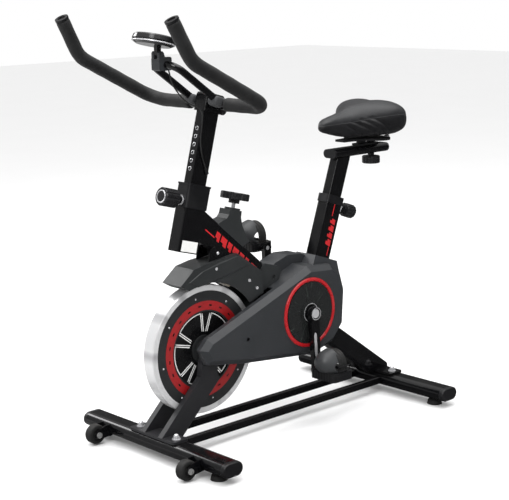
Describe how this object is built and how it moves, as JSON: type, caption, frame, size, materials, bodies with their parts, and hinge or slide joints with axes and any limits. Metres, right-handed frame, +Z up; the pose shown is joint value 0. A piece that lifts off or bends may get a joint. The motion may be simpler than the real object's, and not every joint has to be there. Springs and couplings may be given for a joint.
{
  "type": "exercise bike",
  "caption": "Upright exercise bike with belt-driven front flywheel, friction knob, adjustable bent handlebar and sliding saddle on two floor bars.",
  "frame": {"origin": "on the floor, under the middle of the overall box", "axes": "+X towards the rear of the bike, +Y towards the rider's right, +Z up"},
  "size_m": [0.9466, 0.56, 1.0824],
  "materials": {
    "black_paint": "gloss",
    "grey_shell": "satin",
    "black_plastic": "satin",
    "red_plastic": "gloss",
    "bright_steel": "polished",
    "machined_steel": "satin",
    "disc_plastic": "satin",
    "rubber": "matte",
    "foam": "matte",
    "leatherette": "satin",
    "felt": "matte",
    "screen": "gloss"
  },
  "bodies": {
    "base": {"belt": "rubber", "brake_boss": "grey_shell", "crank_disc": "black_plastic", "crank_ring": "red_plastic", "dome_nuts": "bright_steel", "fender": "grey_shell", "fender_screws": "machined_steel", "flywheel_bearings": "machined_steel", "fork": "black_paint", "frame": "black_paint", "front_stabilizer": "black_paint", "left_cover": "grey_shell", "rails": "black_paint", "rear_stabilizer": "black_paint", "right_cover": "grey_shell", "roller_pins": "bright_steel", "rubber_feet": "rubber", "seat_shroud": "grey_shell", "shell_bearings": "machined_steel", "stabilizer_caps": "black_plastic", "tube_clip": "grey_shell", "tube_collars": "black_plastic"},
    "flywheel": {"flywheel_rim": "bright_steel", "flywheel_disc": "disc_plastic", "small_pulley": "machined_steel", "fly_axle": "machined_steel"},
    "crank": {"spindle": "machined_steel", "big_pulley": "black_plastic", "crank_left": "black_paint", "crank_right": "black_paint", "crank_fasteners": "bright_steel"},
    "left_pedal": {"pedal_left": "black_plastic", "toe_clip_left": "grey_shell"},
    "right_pedal": {"pedal_right": "black_plastic", "toe_clip_right": "grey_shell"},
    "brake": {"brake_rod": "black_paint", "brake_felt": "felt"},
    "resistance_knob": {"brake_knob": "black_plastic"},
    "head_pin": {"head_pull_knob": "black_plastic"},
    "seat_pin": {"seat_pull_knob": "black_plastic"},
    "handlebar_assembly": {"handlebar_post": "black_paint", "handlebar": "black_paint", "grips": "foam", "grip_plugs": "black_plastic", "bar_pads": "foam", "console_bracket": "grey_shell", "cable": "rubber", "cable_grommet": "rubber"},
    "stem_knob": {"clamp_knob": "black_plastic"},
    "console": {"console_body": "black_plastic", "console_screen": "screen"},
    "mode_button": {"console_button": "black_plastic"},
    "seat_mast": {"seat_post": "black_paint", "slider_caps": "black_plastic"},
    "saddle": {"saddle_carriage": "black_paint", "saddle_pad": "leatherette", "saddle_pan": "black_plastic"},
    "saddle_clamp_knob": {"saddle_knob": "black_plastic"},
    "left_roller": {"roller_left": "rubber"},
    "right_roller": {"roller_right": "rubber"}
  },
  "joints": [
    {"name": "flywheel_spin", "type": "hinge", "parent": "base", "child": "flywheel", "pos_m": [-0.23292, 0, 0.248], "axis": [0, 1, 0], "continuous": true},
    {"name": "crank_spin", "type": "hinge", "parent": "base", "child": "crank", "pos_m": [0.08908, 0, 0.292], "axis": [0, 1, 0], "continuous": true},
    {"name": "left_pedal_spin", "type": "hinge", "parent": "crank", "child": "left_pedal", "pos_m": [0.0972, -0.141, 0.13721], "axis": [0, 1, 0], "continuous": true},
    {"name": "right_pedal_spin", "type": "hinge", "parent": "crank", "child": "right_pedal", "pos_m": [0.08097, 0.141, 0.44679], "axis": [0, 1, 0], "continuous": true},
    {"name": "brake_press", "type": "slide", "parent": "base", "child": "brake", "axis": [0.2554, 0, 0.9668], "range_m": [-0.006, 0], "stiffness_N_per_m": 2500, "springref_m": 0.004},
    {"name": "resistance_turn", "type": "hinge", "parent": "brake", "child": "resistance_knob", "pos_m": [-0.1022, 0, 0.61718], "axis": [0.2554, 0, 0.9668], "range_deg": [-720, 720]},
    {"name": "head_pin_pull", "type": "slide", "parent": "base", "child": "head_pin", "axis": [-0.9636, 0, 0.2672], "range_m": [0, 0.008], "stiffness_N_per_m": 900, "springref_m": -0.006},
    {"name": "seat_pin_pull", "type": "slide", "parent": "base", "child": "seat_pin", "axis": [0.9426, 0, -0.3338], "range_m": [0, 0.008], "stiffness_N_per_m": 900, "springref_m": -0.006},
    {"name": "handlebar_height", "type": "slide", "parent": "base", "child": "handlebar_assembly", "axis": [0.2672, 0, 0.9636], "range_m": [-0.025, 0.08]},
    {"name": "stem_knob_turn", "type": "hinge", "parent": "handlebar_assembly", "child": "stem_knob", "pos_m": [-0.14186, 0, 0.84089], "axis": [0.9636, 0, -0.2672], "range_deg": [-360, 360]},
    {"name": "console_tilt", "type": "hinge", "parent": "handlebar_assembly", "child": "console", "pos_m": [-0.33392, 0, 0.988], "axis": [0, 1, 0], "range_deg": [-12, 12]},
    {"name": "mode_button_press", "type": "slide", "parent": "console", "child": "mode_button", "axis": [0.2419, 0, 0.9703], "range_m": [-0.001, 0], "stiffness_N_per_m": 400, "springref_m": 0.0005},
    {"name": "seat_height", "type": "slide", "parent": "base", "child": "seat_mast", "axis": [0.3338, 0, 0.9426], "range_m": [-0.04, 0.1]},
    {"name": "saddle_fore_aft", "type": "slide", "parent": "seat_mast", "child": "saddle", "axis": [1, 0, 0], "range_m": [-0.045, 0.03]},
    {"name": "saddle_knob_turn", "type": "hinge", "parent": "saddle", "child": "saddle_clamp_knob", "pos_m": [0.40608, 0, 0.66], "axis": [0, 0, 1], "range_deg": [-360, 360]},
    {"name": "left_roller_spin", "type": "hinge", "parent": "base", "child": "left_roller", "pos_m": [-0.43692, -0.181, 0.028], "axis": [0, 1, 0], "continuous": true},
    {"name": "right_roller_spin", "type": "hinge", "parent": "base", "child": "right_roller", "pos_m": [-0.43692, 0.181, 0.028], "axis": [0, 1, 0], "continuous": true}
  ],
  "couplings": [
    {"joint": "crank_spin", "follows": "flywheel_spin", "ratio": 0.27739}
  ]
}
